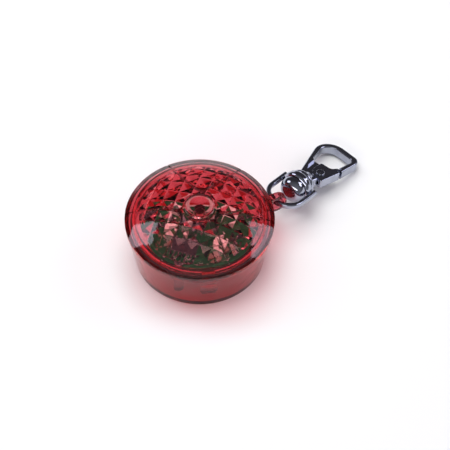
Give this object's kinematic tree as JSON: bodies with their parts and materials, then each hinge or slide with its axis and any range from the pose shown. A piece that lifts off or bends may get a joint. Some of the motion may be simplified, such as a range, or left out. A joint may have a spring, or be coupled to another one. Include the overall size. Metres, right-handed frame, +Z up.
{
  "type": "led safety flare",
  "caption": "Round translucent red safety beacon with a prismatic domed lens, flat base and side lug, carried on a chromed swivel snap hook.",
  "frame": {"origin": "centre of the case's flat base, on the surface it stands on", "axes": "+Z up along the case's axis, +X from the case's axis towards the lug that carries the hook"},
  "size_m": [0.0796, 0.045, 0.0239],
  "materials": {
    "case_red": "translucent red polycarbonate, smooth",
    "lens_red": "translucent red polycarbonate, prismatic inside, polished outside",
    "seal_rubber": "matte",
    "button_red": "translucent red, satin",
    "board_green": "glass-epoxy board with solder mask",
    "led_white": "white reflector package",
    "led_resin": "clear resin over phosphor",
    "chip_black": "moulded epoxy",
    "tinned": "tinned leads",
    "switch_metal": "stamped cover",
    "switch_black": "moulded",
    "resistor_black": "glazed",
    "capacitor_tan": "ceramic",
    "screw_steel": "zinc plated",
    "cell_steel": "nickel-plated can",
    "cradle_white": "moulded",
    "contact_nickel": "nickel-plated spring strip",
    "eye_chrome": "polished chrome on zinc",
    "rivet_chrome": "polished chrome",
    "hook_chrome": "polished chrome on zinc",
    "gate_chrome": "polished chrome on zinc",
    "pin_steel": "domed rivet heads",
    "spring_steel": "spring strip"
  },
  "bodies": {
    "case": {"base_shell": "case_red", "lens_cover": "lens_red", "lens_seal": "seal_rubber", "circuit_board": "board_green", "led_packages": "led_white", "led_windows": "led_resin", "driver_chip": "chip_black", "chip_leads": "tinned", "switch_body": "switch_metal", "chip_resistors": "resistor_black", "chip_capacitors": "capacitor_tan", "board_screws": "screw_steel", "coin_cells": "cell_steel", "cell_cradle": "cradle_white", "lower_contact": "contact_nickel", "upper_contact": "contact_nickel"},
    "button": {"push_button": "button_red", "switch_plunger": "switch_black"},
    "eye": {"swivel_eye": "eye_chrome"},
    "hook": {"hook_body": "hook_chrome", "swivel_rivet": "rivet_chrome", "gate_rivet": "pin_steel", "gate_spring": "spring_steel"},
    "gate": {"gate": "gate_chrome"}
  },
  "joints": [
    {"name": "button_press", "type": "slide", "parent": "case", "child": "button", "axis": [0, 0, -1], "range_m": [0, 0.0004], "stiffness_N_per_m": 3000, "springref_m": -0.0001},
    {"name": "eye_swing", "type": "hinge", "parent": "case", "child": "eye", "pos_m": [0.0254, 0, 0.0106], "axis": [-0.4305, 0.9026, 0], "range_deg": [-90, 70]},
    {"name": "hook_swivel", "type": "hinge", "parent": "eye", "child": "hook", "pos_m": [0.03497, 0.00456, 0.00766], "axis": [0.8698, 0.4149, -0.2672], "continuous": true},
    {"name": "gate_swing", "type": "hinge", "parent": "hook", "child": "gate", "pos_m": [0.04322, 0.00628, 0.00539], "axis": [0.2412, 0.115, 0.9636], "range_deg": [0, 24], "stiffness_Nm_per_rad": 0.0006, "springref_deg": -8.59, "deforming": ["gate_spring"]}
  ]
}
